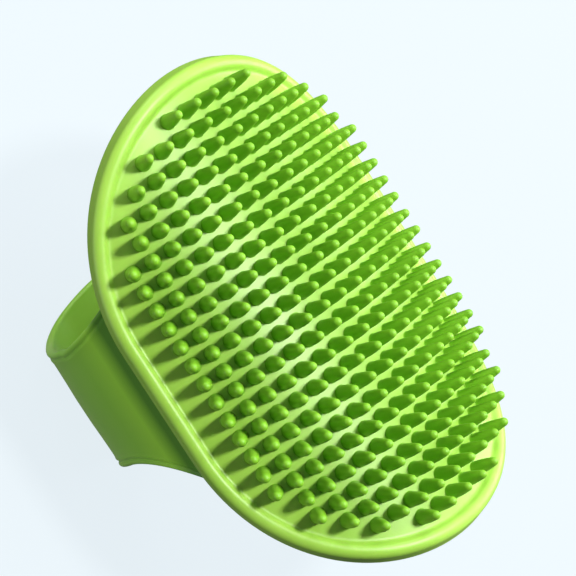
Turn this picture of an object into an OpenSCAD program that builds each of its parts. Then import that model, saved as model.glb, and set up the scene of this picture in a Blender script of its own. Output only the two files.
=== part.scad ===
// Bath and grooming brush pad with a hand strap.
// A soft oval pad, arched about its long axis, carries columns of tapered teeth on its
// outer face.  A wide strap joins both long sides under the pad, and the hand goes
// through between the two.  X runs along the pad, Y across it and Z up.
// The part lies on the flat middle of the strap, with the teeth up.

/* [Pad] */
// Overall length of the pad, with its rim
pad_len = 135; // [126:1:144]
// Width of the pad measured over the arch, with its rim
pad_arc = 104; // [98:1:106]
// Radius of the toothed face about the long axis
pad_radius = 67; // [64:1:80]
// Thickness of the pad
pad_t = 2.4; // [2:0.2:3]
// Diameter of the rolled rim
rim_d = 5; // [4:0.2:5.2]

/* [Teeth] */
// Rows along the pad
tooth_rows = 23; // [15:2:23]
// Columns across the pad
tooth_cols = 15; // [9:2:15]
// Spacing along the pad
row_pitch = 5.2; // [4.6:0.1:6]
// Spacing over the arch
col_pitch = 5.5; // [4.6:0.1:5.5]
// Height of a tooth above the pad
tooth_len = 7.8; // [5:0.2:9]
// Diameter at the root of a tooth
tooth_root_d = 3.8; // [3:0.1:4]
// Diameter at the rounded tip of a tooth
tooth_tip_d = 2.1; // [1.6:0.1:2.4]
// Distance from the pad's edge to the outermost tooth centres
tooth_border = 8.7; // [7:0.1:9]

/* [Strap] */
// Height of the rim's long sides above the surface that the strap lies on
strap_drop = 56; // [50:1:62]
// How far the strap's sides stand in from the widest line of the rim
strap_inset = 5.2; // [3.5:0.1:9]
// Outer radius of the strap's two lower corners
strap_corner_r = 20; // [16:1:28]
// Thickness of the strap
strap_t = 2.4; // [2:0.2:3]
// Reach of the strap from the pad's middle towards the wrist, in the middle of the loop
mid_wrist = 35; // [30:1:38]
// The same towards the finger tips
mid_finger = 10; // [8:1:20]
// Reach of the strap's waist, low on its sides, towards the wrist
waist_wrist = 23.5; // [20:0.5:28]
// The same towards the finger tips
waist_finger = 11; // [8:0.5:16]
// Reach of the strap towards the wrist where it joins the rim
root_wrist = 30; // [26:1:35]
// The same towards the finger tips
root_finger = 26; // [20:1:31]
// Height of the stiff roots below the rim
root_h = 7; // [6:1:10]
// Diameter of the rolled lips along the strap's open ends
lip_d = 3; // [2.8:0.1:3.6]

/* [Hidden] */
COLUMN_NODES = [for (c = [1:tooth_cols]) str("tooth_column_", c < 10 ? "0" : "", c)];

rim_r = rim_d / 2;
lip_r = lip_d / 2;
skin_inner_r = pad_radius - pad_t;
rim_path_r = pad_radius - pad_t / 2;

// Plan of the pad as it would lie flat: straight sides with a half circle at each end
end_r = pad_arc / 2;
end_x = pad_len / 2 - end_r;

// The arch's axis runs along X below the pad, so that the rim's sides are at strap_drop
arch_z = strap_drop - rim_path_r * cos(degrees_over(end_r - rim_r));

// Half the width across the strap, then of the flat land that the part lies on
strap_half = rim_path_r * sin(degrees_over(end_r - rim_r)) + rim_r - strap_inset;
land_half = strap_half - strap_corner_r;
root_z = strap_drop - root_h;

RIM_STATIONS = 32;
SIDE_STATIONS = 10;
TUBE_SIDES = 12;
LIP_STATIONS = 24;
CORNER_STATIONS = 8;
EDGE_STATIONS = 16;
FLARE_POWER = 1.5;
BULGE_POWER = 2;
CROWN_GAP = 0.3;
ROUND = 96;
TOOTH_ROUND = 24;
BIG = 300;

// Angle round the arch for a distance measured over the toothed face
function degrees_over(s) = s / pad_radius * 180 / PI;

// The flat plan's outline, moved in from the pad's edge by an inset, as [x, over the arch]
function end_points(inset, side) =
    [for (i = [0:RIM_STATIONS])
        let (a = 180 * i / RIM_STATIONS - 90)
        [side * (end_x + (end_r - inset) * cos(a)), side * (end_r - inset) * sin(a)]];
function side_points(inset, side) =
    [for (i = [1:SIDE_STATIONS - 1])
        [side * end_x * (1 - 2 * i / SIDE_STATIONS), side * (end_r - inset)]];
function flat_outline(inset) =
    concat(end_points(inset, 1), side_points(inset, 1),
           end_points(inset, -1), side_points(inset, -1));

// A point of the flat plan, wrapped round the arch at a radius
function wrapped(p, r) =
    [p[0], r * sin(degrees_over(p[1])), arch_z + r * cos(degrees_over(p[1]))];

function reversed(list) = [for (i = [len(list) - 1:-1:0]) list[i]];

// A tube swept along a closed or an open path of points
function unit(v) = v / norm(v);
function heading(path, i, closed) =
    let (n = len(path))
    closed ? unit(path[(i + 1) % n] - path[(i + n - 1) % n])
           : unit(path[min(i + 1, n - 1)] - path[max(i - 1, 0)]);
function ring(path, i, r, closed, up) =
    let (t = heading(path, i, closed), u = unit(cross(t, up(path[i]))), v = cross(u, t))
    [for (k = [0:TUBE_SIDES - 1])
        let (a = 360 * k / TUBE_SIDES)
        path[i] + r * (cos(a) * u + sin(a) * v)];
module tube(path, r, closed, up) {
    n = len(path);
    m = TUBE_SIDES;
    points = [for (i = [0:n - 1]) each ring(path, i, r, closed, up)];
    walls = [for (i = [0:(closed ? n - 1 : n - 2)], k = [0:m - 1])
        let (j = (i + 1) % n, l = (k + 1) % m)
        each [[i * m + k, i * m + l, j * m + l], [i * m + k, j * m + l, j * m + k]]];
    caps = closed ? [] : [[for (k = [0:m - 1]) m - 1 - k], [for (k = [0:m - 1]) (n - 1) * m + k]];
    polyhedron(points, concat(walls, caps));
}

module along_x(r) {
    rotate([0, 90, 0]) cylinder(h = BIG, r = r, center = true, $fn = ROUND);
}

module pad_skin() {
    color("#93d63f") intersection() {
        translate([0, 0, arch_z]) difference() {
            along_x(pad_radius);
            along_x(skin_inner_r);
        }
        linear_extrude(BIG)
            polygon([for (p = flat_outline(rim_r)) [p[0], wrapped(p, rim_path_r)[1]]]);
    }
}

module rim_bead() {
    color("#9ade45")
        tube([for (p = flat_outline(rim_r)) wrapped(p, rim_path_r)], rim_r, true,
             function(p) [0, p[1], p[2] - arch_z]);
}

// One tooth standing on the arch's surface, which its root circle just meets
module tooth() {
    seat = sqrt(pow(pad_radius, 2) - pow(tooth_root_d / 2, 2));
    shaft = pad_radius + tooth_len - tooth_tip_d / 2 - seat;
    translate([0, 0, seat]) {
        cylinder(h = shaft, d1 = tooth_root_d, d2 = tooth_tip_d, $fn = TOOTH_ROUND);
        translate([0, 0, shaft]) sphere(d = tooth_tip_d, $fn = TOOTH_ROUND);
    }
}

// True where the border round the teeth leaves room for a tooth
function has_tooth(x, s) =
    let (beyond = max(abs(x) - end_x, 0))
    norm([beyond, s]) <= end_r - tooth_border;

module tooth_column(c) {
    s = (c - (tooth_cols + 1) / 2) * col_pitch;
    color("#6fb52a") for (row = [1:tooth_rows]) {
        x = (row - (tooth_rows + 1) / 2) * row_pitch;
        if (has_tooth(x, s))
            translate([x, 0, arch_z]) rotate([-degrees_over(s), 0, 0]) tooth();
    }
}

// The strap's wrist (-1) or finger (1) edge: at a height up its sides, and across its middle
function waist(end) = end < 0 ? waist_wrist : waist_finger;
function root(end) = end < 0 ? root_wrist : root_finger;
function mid(end) = end < 0 ? mid_wrist : mid_finger;
function side_edge(end, z) =
    let (rise = max(z - strap_corner_r, 0) / (strap_drop - strap_corner_r))
    end * (waist(end) + (root(end) - waist(end)) * pow(rise, FLARE_POWER));
function middle_edge(end, y) =
    let (fade = pow(min(abs(y) / strap_half, 1), BULGE_POWER))
    end * (waist(end) + (mid(end) - waist(end)) * (1 - fade));

// A flat side of the strap between two heights, its edges flaring up towards the pad
module strap_side(side, z0, z1) {
    steps = [for (i = [0:EDGE_STATIONS]) z0 + (z1 - z0) * i / EDGE_STATIONS];
    outline = concat([for (z = steps) [side_edge(1, z), z]],
                     [for (z = reversed(steps)) [side_edge(-1, z), z]]);
    translate([0, side > 0 ? strap_half : strap_t - strap_half, 0])
        rotate([90, 0, 0]) linear_extrude(strap_t) polygon(outline);
}

// The stiff root of a side, cut to the pad's underside
module strap_root(side) {
    color("#7fc236") intersection() {
        strap_side(side, root_z, strap_drop + root_h);
        translate([0, 0, arch_z]) along_x(skin_inner_r);
    }
}

// The part of a side that folds when the strap is pressed up
module strap_wall(side) {
    color("#79bb33") strap_side(side, strap_corner_r + CROWN_GAP, root_z);
}

// Outer or inner form of the strap's lower half, inset from its outside
module crown_form(inset) {
    r = strap_corner_r - inset;
    translate([0, 0, strap_corner_r]) {
        for (side = [-1, 1]) translate([0, side * land_half, 0]) along_x(r);
        translate([-BIG / 2, -land_half, -r]) cube([BIG, 2 * land_half, BIG]);
        translate([-BIG / 2, -land_half - r, 0]) cube([BIG, 2 * (land_half + r), BIG]);
    }
}

module strap_crown() {
    steps = [for (i = [-EDGE_STATIONS:EDGE_STATIONS]) strap_half * i / EDGE_STATIONS];
    outline = concat([for (y = steps) [middle_edge(1, y), y]],
                     [for (y = reversed(steps)) [middle_edge(-1, y), y]]);
    color("#7fc236") intersection() {
        difference() {
            crown_form(0);
            crown_form(strap_t);
        }
        linear_extrude(strap_corner_r) polygon(outline);
    }
}

// The lips follow the crown's ends: up one corner, across the land and up the other
function corner_points(side) =
    [for (i = [0:CORNER_STATIONS])
        let (a = 90 * i / CORNER_STATIONS, r = strap_corner_r - lip_r)
        [side * (land_half + r * cos(a)), strap_corner_r - r * sin(a)]];
function lip_path(end) =
    let (land = [for (i = [1:LIP_STATIONS - 1])
                    [land_half * (2 * i / LIP_STATIONS - 1), lip_r]],
         section = concat(corner_points(-1), land, reversed(corner_points(1))))
    [for (p = section) [middle_edge(end, p[0]), p[0], p[1]]];

module strap_lip(end) {
    color("#9ade45") tube(lip_path(end), lip_r, false, function(p) [1, 0, 0]);
}

module strap_root_near() { strap_root(-1); }
module strap_root_far() { strap_root(1); }
module strap_wall_near() { strap_wall(-1); }
module strap_wall_far() { strap_wall(1); }
module wrist_lip() { strap_lip(-1); }
module finger_lip() { strap_lip(1); }

pad_skin();
rim_bead();
for (c = [1:tooth_cols])
    tooth_column(c);
strap_root_near();
strap_root_far();
strap_wall_near();
strap_wall_far();
strap_crown();
wrist_lip();
finger_lip();
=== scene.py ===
"""Looks for the grooming brush pad: an arched oval rubber pad with teeth, a rolled rim and a hand strap.

Lengths are in metres in the CAD frame: +X from the wrist end to the finger end, +Y across the pad, +Z up.
The pad's plan is laid out flat as (x, s), with s measured over the toothed face, and is then wrapped round
the arch, whose axis runs along X.
"""

import math
import random

import bmesh
import bpy
from mathutils import Matrix, Vector


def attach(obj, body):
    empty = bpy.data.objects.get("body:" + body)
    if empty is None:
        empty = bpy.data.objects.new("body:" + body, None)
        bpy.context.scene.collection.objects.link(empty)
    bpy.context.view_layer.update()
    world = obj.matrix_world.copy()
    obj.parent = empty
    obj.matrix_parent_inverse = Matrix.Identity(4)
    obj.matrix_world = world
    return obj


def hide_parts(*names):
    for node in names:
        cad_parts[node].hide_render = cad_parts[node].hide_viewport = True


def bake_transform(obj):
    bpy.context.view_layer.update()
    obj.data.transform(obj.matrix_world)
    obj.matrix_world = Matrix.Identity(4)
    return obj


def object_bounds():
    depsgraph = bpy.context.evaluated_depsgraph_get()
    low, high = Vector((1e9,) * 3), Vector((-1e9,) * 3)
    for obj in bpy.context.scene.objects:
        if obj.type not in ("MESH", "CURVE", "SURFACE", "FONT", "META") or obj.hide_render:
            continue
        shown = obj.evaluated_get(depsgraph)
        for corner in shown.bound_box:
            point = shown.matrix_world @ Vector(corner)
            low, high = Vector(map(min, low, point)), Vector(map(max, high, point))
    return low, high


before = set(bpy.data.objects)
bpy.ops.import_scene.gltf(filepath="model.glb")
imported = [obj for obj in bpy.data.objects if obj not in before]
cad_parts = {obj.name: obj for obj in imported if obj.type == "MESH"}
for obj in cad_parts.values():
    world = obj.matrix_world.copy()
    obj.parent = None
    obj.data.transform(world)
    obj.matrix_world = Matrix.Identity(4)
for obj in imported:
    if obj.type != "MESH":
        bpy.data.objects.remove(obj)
cad_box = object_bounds()

# ---------------------------------------------------------------- sizes, as in part.scad

MM = 0.001
PAD_LEN, PAD_ARC, PAD_RADIUS, PAD_T, RIM_D = 135 * MM, 104 * MM, 67 * MM, 2.4 * MM, 5 * MM
ROWS, COLS, ROW_PITCH, COL_PITCH = 23, 15, 5.2 * MM, 5.5 * MM
TOOTH_LEN, TOOTH_ROOT_R, TOOTH_TIP_R, TOOTH_BORDER = 7.8 * MM, 1.9 * MM, 1.15 * MM, 8.7 * MM
STRAP_DROP, STRAP_INSET, STRAP_CORNER_R, STRAP_T = 56 * MM, 5.2 * MM, 20 * MM, 2.4 * MM

# Reach of the strap's wrist (-1) and finger (1) edges at the crown's middle, the sides and the roots
MID = {-1: 35 * MM, 1: 10 * MM}
WAIST = {-1: 23.5 * MM, 1: 11 * MM}
ROOT = {-1: 30 * MM, 1: 26 * MM}
FLARE_POWER, BULGE_POWER = 1.5, 2.0

RIM_R = RIM_D / 2
END_R = PAD_ARC / 2
END_X = PAD_LEN / 2 - END_R
RIM_PATH_R = PAD_RADIUS - PAD_T / 2
RIM_ANGLE = (END_R - RIM_R) / PAD_RADIUS
ARCH_Z = STRAP_DROP - RIM_PATH_R * math.cos(RIM_ANGLE)
STRAP_HALF = RIM_PATH_R * math.sin(RIM_ANGLE) + RIM_R - STRAP_INSET
LAND_HALF = STRAP_HALF - STRAP_CORNER_R

rng = random.Random(7)


def lerp(a, b, t):
    return a + (b - a) * t


def wrapped(x, s, r):
    """The point of the arch at radius r that lies over the flat plan's (x, s)."""
    a = s / PAD_RADIUS
    return Vector((x, r * math.sin(a), ARCH_Z + r * math.cos(a)))


# ---------------------------------------------------------------- mesh helpers

def make_object(name, verts, faces, material, merge=0.0):
    mesh = bpy.data.meshes.new(name)
    mesh.from_pydata([tuple(v) for v in verts], [], faces)
    bm = bmesh.new()
    bm.from_mesh(mesh)
    if merge:
        bmesh.ops.remove_doubles(bm, verts=bm.verts, dist=merge)
    bmesh.ops.recalc_face_normals(bm, faces=bm.faces)
    bm.to_mesh(mesh)
    bm.free()
    for p in mesh.polygons:
        p.use_smooth = True
    mesh.materials.append(material)
    obj = bpy.data.objects.new(name, mesh)
    bpy.context.scene.collection.objects.link(obj)
    return obj


def ring_faces(rings, n, start=0):
    """The quads between each ring of n verts and the next, for rings whose verts begin at start."""
    return [(start + i * n + k, start + i * n + (k + 1) % n,
             start + (i + 1) * n + (k + 1) % n, start + (i + 1) * n + k)
            for i in range(rings - 1) for k in range(n)]


# ---------------------------------------------------------------- materials

# What all three rubbers share
DRIFT_SCALE, DRIFT_DETAIL = 38, 4                       # patches of slightly different pigment
DARK_AT, MIDDLE_AT, LIGHT_AT = 0.30, 0.50, 0.72         # where each pigment lies on the drift noise
TONE_SHARE = 0.8                                        # how far a shade by height overrules the drift
PALE_EDGE_FROM, PALE_EDGE_TO, PALE_EDGE_SHARE = 0.52, 0.62, 0.30       # pointiness where the paling starts and is full; its most
PALE_EDGE_GAIN, PALE_EDGE_LIFT = 1.15, 0.03                       # how much paler the edges are
GROOVE_SHUT, GROOVE_OPEN = 0.30, 0.80                   # openness at full and at no painted shading
GROOVE_SAMPLES = 8
GRAIN_DETAIL, GRAIN_STRENGTH = 3, 0.35                  # the matt texture of the mould
GLOSS_BELOW, GLOSS_ABOVE = 0.06, 0.08                   # how far the drift moves the roughness each way
GLOW_WEIGHT, GLOW_RADIUS, GLOW_SCALE = 0.18, (0.6, 1.0, 0.2), 2.2 * MM
RUBBER_IOR, SHEEN_ROUGHNESS = 1.45, 0.4

# Painted shading: the photograph's light and shade on the strap, by height, which the lights below only
# partly give. It isn't pigment or wear.
STRAP_TONES = (
    (3 * MM, (0.37, 0.74, 0.07)), (9 * MM, (0.46, 0.76, 0.20)), (19 * MM, (0.31, 0.63, 0.11)),
    (28 * MM, (0.30, 0.68, 0.06)), (37.5 * MM, (0.42, 0.88, 0.05)), (41.5 * MM, (0.20, 0.52, 0.02)),
    (44.5 * MM, (0.03, 0.20, 0.0)),
)


def add_node(nt, kind, inputs, **settings):
    """A new node. Its inputs are plain values, or other nodes' outputs to link."""
    made = nt.nodes.new("ShaderNode" + kind)
    for key, value in settings.items():
        setattr(made, key, value)
    for key, value in inputs.items():
        if isinstance(value, bpy.types.NodeSocket):
            nt.links.new(value, made.inputs[key])
        else:
            made.inputs[key].default_value = value
    return made


def fill_ramp(ramp, stops):
    """Sets a colour ramp to the (position, colour) stops, in rising order."""
    elements = ramp.color_ramp.elements
    elements[0].position, elements[-1].position = stops[0][0], stops[-1][0]
    for position, colour in stops[1:-1]:
        elements.new(position).color = (*colour, 1)
    elements[0].color, elements[-1].color = (*stops[0][1], 1), (*stops[-1][1], 1)


def rubber(name, base, light, dark, rough, fine, depth, reach, deepest, sheen=0.0, heights=()):
    """Soft moulded elastomer: drifting pigment, paler edges, painted shading and a fine matt texture."""
    m = bpy.data.materials.new(name)
    m.use_nodes = True
    nt = m.node_tree
    bsdf = nt.nodes["Principled BSDF"]

    place = add_node(nt, "TexCoord", {}).outputs["Object"]
    drift = add_node(nt, "TexNoise", {"Scale": DRIFT_SCALE, "Detail": DRIFT_DETAIL, "Vector": place})
    ramp = add_node(nt, "ValToRGB", {"Fac": drift.outputs["Fac"]})
    fill_ramp(ramp, [(DARK_AT, dark), (MIDDLE_AT, base), (LIGHT_AT, light)])
    toned = ramp.outputs["Color"]

    # painted shading by height on the part
    if heights:
        low, high = heights[0][0], heights[-1][0]
        axes = add_node(nt, "SeparateXYZ", {"Vector": place})
        level = add_node(nt, "MapRange", {"From Min": low, "From Max": high, "Value": axes.outputs["Z"]})
        tone = add_node(nt, "ValToRGB", {"Fac": level.outputs["Result"]})
        fill_ramp(tone, [((z - low) / (high - low), colour) for z, colour in heights])
        toned = add_node(nt, "Mix", {"Factor": TONE_SHARE, "A": toned, "B": tone.outputs["Color"]},
                         data_type="RGBA").outputs["Result"]

    # edges a little paler, by the shape's own pointiness
    geometry = add_node(nt, "NewGeometry", {})
    pale_edge = add_node(nt, "MapRange", {"From Min": PALE_EDGE_FROM, "From Max": PALE_EDGE_TO, "To Max": PALE_EDGE_SHARE,
                                     "Value": geometry.outputs["Pointiness"]})
    paler = (*[min(1, c * PALE_EDGE_GAIN + PALE_EDGE_LIFT) for c in light], 1)
    edged = add_node(nt, "Mix", {"Factor": pale_edge.outputs["Result"], "A": toned, "B": paler}, data_type="RGBA")

    # painted shading in narrow grooves, on top of what the lights give
    groove = add_node(nt, "AmbientOcclusion", {"Distance": reach}, samples=GROOVE_SAMPLES)
    deep = add_node(nt, "MapRange", {"From Min": GROOVE_SHUT, "From Max": GROOVE_OPEN, "To Min": deepest,
                                     "Value": groove.outputs["AO"]})
    shaded = add_node(nt, "Mix", {"Factor": 1.0, "A": edged.outputs["Result"], "B": deep.outputs["Result"]},
                      data_type="RGBA", blend_type="MULTIPLY")
    nt.links.new(shaded.outputs["Result"], bsdf.inputs["Base Color"])

    gloss = add_node(nt, "MapRange", {"To Min": rough - GLOSS_BELOW, "To Max": rough + GLOSS_ABOVE,
                                      "Value": drift.outputs["Fac"]})
    nt.links.new(gloss.outputs["Result"], bsdf.inputs["Roughness"])
    grain = add_node(nt, "TexNoise", {"Scale": fine, "Detail": GRAIN_DETAIL, "Vector": place})
    bump = add_node(nt, "Bump", {"Strength": GRAIN_STRENGTH, "Distance": depth,
                                 "Height": grain.outputs["Fac"]})
    nt.links.new(bump.outputs["Normal"], bsdf.inputs["Normal"])

    bsdf.inputs["Subsurface Weight"].default_value = GLOW_WEIGHT
    bsdf.inputs["Subsurface Radius"].default_value = GLOW_RADIUS
    bsdf.inputs["Subsurface Scale"].default_value = GLOW_SCALE
    bsdf.inputs["IOR"].default_value = RUBBER_IOR
    bsdf.inputs["Sheen Weight"].default_value = sheen
    bsdf.inputs["Sheen Roughness"].default_value = SHEEN_ROUGHNESS
    return m


pad_rubber = rubber("pad_rubber", (0.34, 0.62, 0.075), (0.38, 0.67, 0.09), (0.30, 0.57, 0.06),
                    rough=0.40, fine=1700, depth=0.06 * MM, reach=5 * MM, deepest=0.88)
# The teeth are the same rubber as the pad; their darker colours are painted shade.
shaded_teeth_rubber = rubber("shaded_teeth_rubber", (0.20, 0.475, 0.020), (0.23, 0.52, 0.026), (0.17, 0.42, 0.016),
                      rough=0.46, fine=2100, depth=0.04 * MM, reach=4 * MM, deepest=0.88)
strap_rubber = rubber("strap_rubber", (0.34, 0.70, 0.060), (0.38, 0.74, 0.074), (0.30, 0.65, 0.048),
                      rough=0.40, fine=1500, depth=0.06 * MM, reach=6 * MM, deepest=0.45,
                      sheen=0.12, heights=STRAP_TONES)

# ---------------------------------------------------------------- pad with its rolled rim

STATIONS_END, STATIONS_SIDE = 72, 40
STATIONS = 2 * (STATIONS_END + STATIONS_SIDE)
FLOOR_FROM, FLOOR_RINGS = 6.9 * MM, 22      # the smooth face and underside, inwards from the rim
CENTRE_MERGE = 1e-6

# The rim's section as (inset from the edge, height over the toothed face), in mm: from the pad's
# underside, out round the foot, up the outer wall, over the broad roll and down to the toothed face
RIM_SECTION = [
    (6.8, -2.40), (5.8, -2.46), (5.0, -2.75), (4.3, -3.20), (3.4, -3.55), (2.4, -3.66), (1.4, -3.60),
    (0.64, -3.40), (0.22, -3.08), (0.04, -2.66), (0.10, -2.28), (0.30, -1.84), (0.52, -1.36), (0.74, -0.86),
    (0.94, -0.36), (1.12, 0.12), (1.30, 0.58), (1.56, 1.00), (1.96, 1.36), (2.48, 1.60), (3.08, 1.72),
    (3.70, 1.68), (4.24, 1.50), (4.66, 1.18), (4.94, 0.78), (5.16, 0.40), (5.44, 0.13), (5.84, 0.01),
    (6.30, 0.0), (6.90, 0.0),
]


def outline_station(i, inset):
    """Point i of the flat plan's outline moved in by an inset, as (x, s)."""
    r = END_R - inset
    per_half = STATIONS_END + STATIONS_SIDE
    side = 1 if i < per_half else -1
    i %= per_half
    if i <= STATIONS_END:
        a = math.pi * i / STATIONS_END - math.pi / 2
        return side * (END_X + r * math.cos(a)), side * r * math.sin(a)
    t = (i - STATIONS_END) / STATIONS_SIDE
    return side * END_X * (1 - 2 * t), side * r


floor_insets = [lerp(FLOOR_FROM, END_R, k / FLOOR_RINGS) for k in range(1, FLOOR_RINGS + 1)]
section = [(d, -PAD_T) for d in reversed(floor_insets)]
section += [(d * MM, h * MM) for d, h in RIM_SECTION]
section += [(d, 0.0) for d in floor_insets]
verts = []
for d, h in section:
    for i in range(STATIONS):
        x, s = outline_station(i, d)
        verts.append(wrapped(x, s, PAD_RADIUS + h))
faces = ring_faces(len(section), STATIONS)
pad_shell = make_object("pad_shell", verts, faces, pad_rubber, merge=CENTRE_MERGE)
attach(pad_shell, "pad")
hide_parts("pad_skin", "rim_bead")

# ---------------------------------------------------------------- teeth

SEGMENTS = 24
FILLET, CAP = 0.40 * MM, 1.25 * MM
FOOT_DEPTH, FILLET_SINK = 0.45 * MM, 0.08 * MM      # how far the foot and its fillet start inside the skin
FILLET_STEPS, SHAFT_STEPS, CAP_STEPS = 4, 8, 8
TAPER_POWER = 1.7
LEAN_SPREAD, LENGTH_SPREAD = 0.010, 0.008


def tooth_profile():
    """(radius, height) from the buried foot up to the rounded tip."""
    points = [(TOOTH_ROOT_R + FILLET, -FOOT_DEPTH)]
    for k in range(FILLET_STEPS + 1):
        a = math.pi / 2 * k / FILLET_STEPS
        points.append((TOOTH_ROOT_R + FILLET * (1 - math.sin(a)), FILLET * (1 - math.cos(a)) - FILLET_SINK))
    shoulder = TOOTH_LEN - CAP
    for k in range(1, SHAFT_STEPS + 1):
        t = k / SHAFT_STEPS
        points.append((lerp(TOOTH_ROOT_R, TOOTH_TIP_R, t ** TAPER_POWER), lerp(FILLET, shoulder, t)))
    for k in range(1, CAP_STEPS):
        a = math.pi / 2 * k / CAP_STEPS
        points.append((TOOTH_TIP_R * math.cos(a), shoulder + CAP * math.sin(a)))
    return points


PROFILE = tooth_profile()


def add_tooth(verts, faces, x, s):
    start = len(verts)
    lean = Matrix.Rotation(-s / PAD_RADIUS, 4, "X")
    lean = lean @ Matrix.Rotation(rng.gauss(0, LEAN_SPREAD), 4, "X")
    lean = lean @ Matrix.Rotation(rng.gauss(0, LEAN_SPREAD), 4, "Y")
    stretch = 1 + rng.gauss(0, LENGTH_SPREAD)
    foot = wrapped(x, s, PAD_RADIUS)
    for r, h in PROFILE:
        for k in range(SEGMENTS):
            t = 2 * math.pi * k / SEGMENTS
            verts.append(foot + lean @ Vector((r * math.cos(t), r * math.sin(t), h * stretch)))
    tip = len(verts)
    verts.append(foot + lean @ Vector((0, 0, TOOTH_LEN * stretch)))
    faces += ring_faces(len(PROFILE), SEGMENTS, start)
    faces += [(tip - SEGMENTS + k, tip - SEGMENTS + (k + 1) % SEGMENTS, tip) for k in range(SEGMENTS)]
    faces.append(tuple(start + k for k in reversed(range(SEGMENTS))))


for c in range(1, COLS + 1):
    verts, faces = [], []
    s = (c - (COLS + 1) / 2) * COL_PITCH
    for row in range(1, ROWS + 1):
        x = (row - (ROWS + 1) / 2) * ROW_PITCH
        if math.hypot(max(abs(x) - END_X, 0), s) <= END_R - TOOTH_BORDER:
            add_tooth(verts, faces, x, s)
    column = make_object(f"teeth_{c:02d}", verts, faces, shaded_teeth_rubber)
    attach(column, "pad")
    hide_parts(f"tooth_column_{c:02d}")

# ---------------------------------------------------------------- strap

MID_R = STRAP_CORNER_R - STRAP_T / 2
WALL_Y = STRAP_HALF - STRAP_T / 2
WALL_STEPS, CORNER_STEPS, LAND_STEPS = 22, 20, 10
BURIED = 0.55                   # depth in the skin at which the walls end, as a share of its thickness
LIP_REACH = 9.5 * MM            # how far in from an edge the lip's profile runs
ACROSS = (0.3, 0.5, 0.7)        # section points between the two lips' profiles

# Where the walls meet the pad, they thicken inwards and spread along it into a fillet
ROOT_FILLET, ROOT_POWER, ROOT_SWELL, ROOT_SPREAD = 5.0 * MM, 2.2, 1.1, 2.2 * MM

# The band's faces near an edge as (distance in from the edge, height along the outward normal), in mm:
# a rolled lip with a fine groove behind it outside, and a low rounded lip inside
OUTER_FACE = [
    (0.00, 0.00), (0.08, 0.46), (0.28, 0.84), (0.62, 1.10), (1.00, 1.19), (1.34, 1.08), (1.60, 0.84),
    (1.86, 0.72), (2.12, 0.84), (2.40, 1.04), (2.76, 1.12), (3.2, 1.04), (3.8, 0.96), (6.0, 0.98),
    (9.5, 1.05),
]
INNER_FACE = [
    (0.00, -0.40), (0.08, -0.80), (0.28, -1.12), (0.62, -1.32), (1.05, -1.36), (1.60, -1.28),
    (2.40, -1.20), (5.0, -1.20), (9.0, -1.20),
]


def arch_height(r):
    """The height of the arch of radius r straight above a wall of the strap."""
    return ARCH_Z + math.sqrt(r ** 2 - WALL_Y ** 2)


def strap_path():
    """Stations round the loop, down the near side and up the far one: (point, outward normal)."""
    top = arch_height(PAD_RADIUS - PAD_T * BURIED)
    half = [(Vector((0, -WALL_Y, lerp(top, STRAP_CORNER_R, k / WALL_STEPS))), Vector((0, -1, 0)))
            for k in range(WALL_STEPS)]
    for k in range(CORNER_STEPS):
        a = math.pi / 2 * k / CORNER_STEPS
        n = Vector((0, -math.cos(a), -math.sin(a)))
        half.append((Vector((0, -LAND_HALF, STRAP_CORNER_R)) + n * MID_R, n))
    half += [(Vector((0, lerp(-LAND_HALF, 0, k / LAND_STEPS), STRAP_T / 2)), Vector((0, 0, -1)))
             for k in range(LAND_STEPS + 1)]
    flip = Matrix.Scale(-1, 3, (0, 1, 0))
    return half + [(flip @ p, flip @ n) for p, n in reversed(half[:-1])]


def strap_edge(end, p):
    """X of the strap's wrist (-1) or finger (1) edge at a point of the path."""
    if p.z > STRAP_CORNER_R:
        rise = (p.z - STRAP_CORNER_R) / (STRAP_DROP - STRAP_CORNER_R)
        return end * (WAIST[end] + (ROOT[end] - WAIST[end]) * rise ** FLARE_POWER)
    fade = min(abs(p.y) / STRAP_HALF, 1) ** BULGE_POWER
    return end * (WAIST[end] + (MID[end] - WAIST[end]) * (1 - fade))


def strap_section():
    """The band's closed section: (end, distance in from that edge, height), or (0, share across, height)."""
    outer = [(d * MM, h * MM) for d, h in OUTER_FACE]
    inner = [(d * MM, h * MM) for d, h in INNER_FACE]
    points = [(-1, d, h) for d, h in outer]
    points += [(0, u, STRAP_T / 2) for u in ACROSS]
    points += [(1, d, h) for d, h in reversed(outer)]
    points += [(1, d, h) for d, h in inner]
    points += [(0, u, -STRAP_T / 2) for u in reversed(ACROSS)]
    points += [(-1, d, h) for d, h in reversed(inner)]
    return points


skin_under = arch_height(PAD_RADIUS - PAD_T)
section = strap_section()
path = strap_path()
verts = []
for p, n in path:
    edge = {-1: strap_edge(-1, p), 1: strap_edge(1, p)}
    root = max(0.0, 1 - (skin_under - p.z) / ROOT_FILLET) ** ROOT_POWER
    for end, d, h in section:
        if end == 0:
            x = lerp(edge[-1] + LIP_REACH, edge[1] - LIP_REACH, d)
        else:
            x = edge[end] - end * d + end * root * ROOT_SPREAD
        thicken = 1 + ROOT_SWELL * root if h < 0 else 1
        verts.append(Vector((x, 0, 0)) + p + n * h * thicken)
faces = ring_faces(len(path), len(section))
faces.append(tuple(reversed(range(len(section)))))
faces.append(tuple(range(len(verts) - len(section), len(verts))))
strap_shell = make_object("strap_shell", verts, faces, strap_rubber)
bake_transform(strap_shell)
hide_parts("strap_root_near", "strap_root_far", "strap_wall_near", "strap_wall_far",
            "strap_crown", "wrist_lip", "finger_lip")

# ---------------------------------------------------------------- floor, light and camera

FLOOR_HALF, DOME_R = 4.0, 3.9

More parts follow.
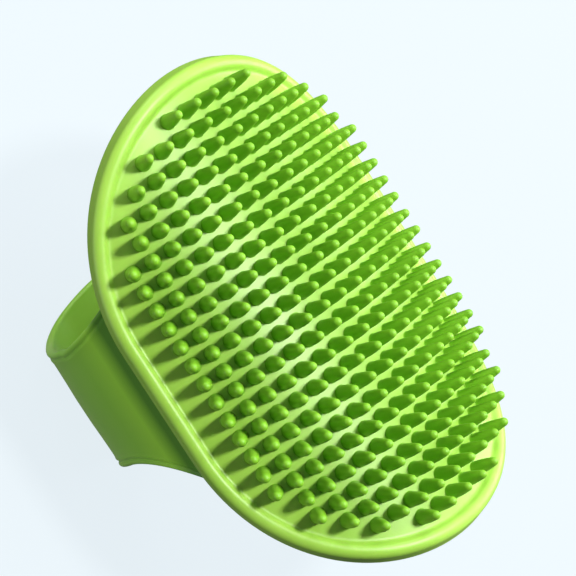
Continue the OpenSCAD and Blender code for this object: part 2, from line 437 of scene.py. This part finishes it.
# The floor and the dome behind it glow, so the part's shadow stays pale. Neither one lights the part,
# shows in it or casts a shadow.
paper = bpy.data.materials.new("paper")
paper.use_nodes = True
paper_bsdf = paper.node_tree.nodes["Principled BSDF"]
paper_bsdf.inputs["Base Color"].default_value = (0.06, 0.064, 0.066, 1)
paper_bsdf.inputs["Roughness"].default_value = 1.0
paper_bsdf.inputs["Specular IOR Level"].default_value = 0.0
paper_bsdf.inputs["Emission Color"].default_value = (0.80, 0.88, 0.93, 1)
paper_bsdf.inputs["Emission Strength"].default_value = 0.95

floor_mesh = bpy.data.meshes.new("floor")
corners = [(-FLOOR_HALF, -FLOOR_HALF, 0), (FLOOR_HALF, -FLOOR_HALF, 0),
           (FLOOR_HALF, FLOOR_HALF, 0), (-FLOOR_HALF, FLOOR_HALF, 0)]
floor_mesh.from_pydata(corners, [], [(0, 1, 2, 3)])
dome_mesh = bpy.data.meshes.new("dome")
bm = bmesh.new()
bmesh.ops.create_icosphere(bm, subdivisions=4, radius=DOME_R)
bm.to_mesh(dome_mesh)
bm.free()
for mesh in (floor_mesh, dome_mesh):
    mesh.materials.append(paper)
    stage = bpy.data.objects.new(mesh.name, mesh)
    bpy.context.scene.collection.objects.link(stage)
    stage.visible_diffuse = stage.visible_glossy = stage.visible_transmission = stage.visible_shadow = False

# Disc lights, all aimed at the part's middle: (name, direction, distance, size, power, colour).
# near_fill stands below the floor and shines through it.
LIGHTS = [
    ("key", (0.05, 0.15, 0.99), 1.1, 0.18, 13.0, (1.0, 0.99, 0.96)),
    ("wrist_soft", (-0.50, 0.45, 0.80), 1.1, 0.70, 5.2, (1.0, 1.0, 0.98)),
    ("far_side", (0.3, 1.0, 0.60), 1.1, 0.8, 11.5, (0.97, 0.99, 1.0)),
    ("wrist_low", (-1.0, 0.10, 0.45), 1.0, 0.4, 2.8, (1.0, 1.0, 1.0)),
    ("near_fill", (-0.4, -1.0, -0.25), 1.1, 0.9, 3.4, (1.0, 1.0, 0.96)),
]
centre = Vector((0, 0, 0.5 * (cad_box[0][2] + cad_box[1][2])))
for name, direction, distance, size, power, colour in LIGHTS:
    data = bpy.data.lights.new(name, "AREA")
    data.shape = "DISK"
    data.size = size
    data.energy = power
    data.color = colour
    light = bpy.data.objects.new(name, data)
    light.location = centre + Vector(direction).normalized() * distance
    light.rotation_euler = (centre - light.location).to_track_quat("-Z", "Y").to_euler()
    bpy.context.scene.collection.objects.link(light)

world = bpy.data.worlds.new("studio")
bpy.context.scene.world = world
world.use_nodes = True
world.node_tree.nodes["Background"].inputs["Color"].default_value = (0.90, 0.95, 1.0, 1)
world.node_tree.nodes["Background"].inputs["Strength"].default_value = 0.11

scene = bpy.context.scene
scene.view_settings.view_transform = "Standard"
scene.view_settings.look = "None"

LENS_MM, SENSOR_MM = 112.5, 36
CAMERA_DISTANCE = 0.436
AIM_FROM_APEX = (-0.0081, -0.0095)      # where on the arch's crest the camera aims, as (x, y)
AIM_RIGHT, AIM_UP = 0.0009, 0.0004

camera_data = bpy.data.cameras.new("camera")
camera_data.sensor_width = SENSOR_MM
camera_data.lens = LENS_MM
camera_data.clip_start = 0.01
camera = bpy.data.objects.new("camera", camera_data)
bpy.context.scene.collection.objects.link(camera)
# Fitted to the photograph: a compromise, because one camera can't meet its whole outline
view_to = Vector((0.0797, 0.5788, -0.8082)).normalized()
view_right = Vector((0.5393, 0.6582, 0.5240))
view_right = (view_right - view_to * view_right.dot(view_to)).normalized()
view_up = view_right.cross(view_to)
turn = Matrix((view_right, view_up, -view_to)).transposed()
aim = Vector((*AIM_FROM_APEX, ARCH_Z + PAD_RADIUS)) + AIM_RIGHT * view_right + AIM_UP * view_up
camera.matrix_world = Matrix.Translation(aim - CAMERA_DISTANCE * view_to) @ turn.to_4x4()
scene.camera = camera
